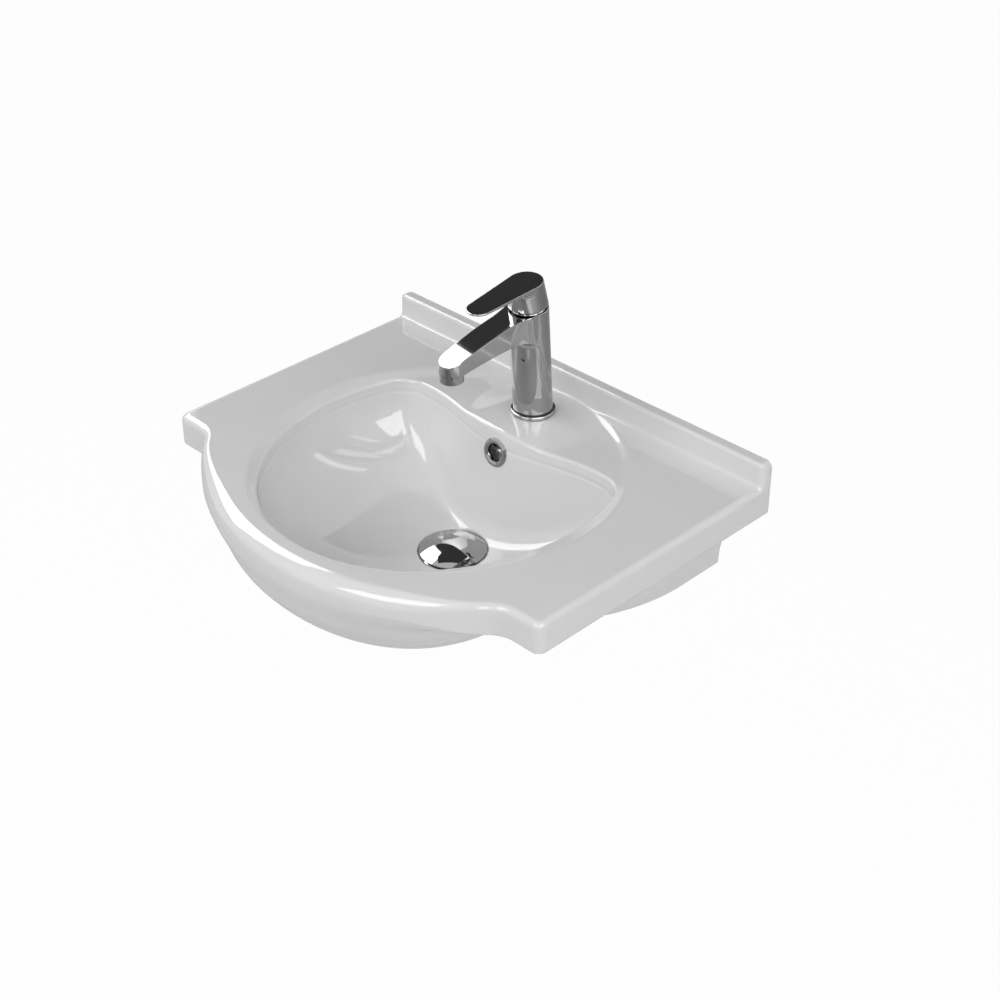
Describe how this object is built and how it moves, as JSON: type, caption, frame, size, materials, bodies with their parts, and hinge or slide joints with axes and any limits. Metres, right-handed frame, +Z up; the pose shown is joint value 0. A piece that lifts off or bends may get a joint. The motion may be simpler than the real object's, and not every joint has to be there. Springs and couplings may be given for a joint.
{
  "type": "wash basin",
  "caption": "White glazed ceramic vanity wash basin with a back upstand, bow front and oval bowl, carrying a single-lever mixer tap, an overflow and a click pop-up waste.",
  "frame": {"origin": "middle of the wall face, level with the top of the slab", "axes": "+X along the wall to the user's right, +Y into the wall (the user stands at -Y), +Z up"},
  "size_m": [0.5, 0.4062, 0.3481],
  "materials": {
    "glaze": "gloss",
    "chrome": "polished",
    "brass": "machined",
    "steel": "satin",
    "rubber": "matte",
    "white_plastic": "satin",
    "grey_plastic": "satin",
    "disc_ceramic": "lapped"
  },
  "bodies": {
    "basin": {"basin_body": "glaze", "overflow_ring": "chrome", "waste_upper_gasket": "rubber", "waste_flange": "chrome", "waste_body": "brass", "waste_bridge": "white_plastic", "waste_lower_gasket": "rubber", "waste_slip_washer": "white_plastic", "waste_back_nut": "brass", "click_cartridge": "brass", "return_spring": "steel", "tap_base_gasket": "rubber", "tap_base_ring": "chrome", "tap_base_seal": "rubber", "tap_body": "chrome", "column_plug": "grey_plastic", "aerator_housing": "chrome", "aerator_insert": "grey_plastic", "aerator_washer": "rubber", "cartridge_base": "white_plastic", "fixed_disc": "disc_ceramic", "cartridge_housing": "white_plastic", "cartridge_nut": "brass", "cover_ring": "chrome", "horseshoe_gasket": "rubber", "horseshoe_washer": "steel", "mounting_stud": "steel", "fixing_nut": "brass"},
    "plug": {"waste_stem": "brass", "cap_seal": "rubber", "waste_cap": "chrome"},
    "swivel": {"cartridge_carrier": "grey_plastic", "stem_pin": "steel"},
    "lever": {"cartridge_stem": "brass", "lever_handle": "chrome", "handle_grub_screw": "steel", "index_plug": "grey_plastic"},
    "sliding_disc": {"moving_disc": "disc_ceramic", "disc_holder": "grey_plastic"}
  },
  "joints": [
    {"name": "plug_slide", "type": "slide", "parent": "basin", "child": "plug", "axis": [0, 0, 1], "range_m": [0, 0.008], "deforming": ["return_spring"]},
    {"name": "temperature_swivel", "type": "hinge", "parent": "basin", "child": "swivel", "pos_m": [0, -0.07059, 0.11274], "axis": [0, -0.0698, 0.9976], "range_deg": [-45, 45]},
    {"name": "flow_lift", "type": "hinge", "parent": "swivel", "child": "lever", "pos_m": [0, -0.07059, 0.11274], "axis": [-1, 0, 0], "range_deg": [0, 24]},
    {"name": "disc_slide", "type": "slide", "parent": "swivel", "child": "sliding_disc", "axis": [0, -0.9976, -0.0698], "range_m": [0, 0.005]}
  ],
  "couplings": [
    {"joint": "disc_slide", "follows": "flow_lift", "m_per_rad": 0.01165}
  ]
}
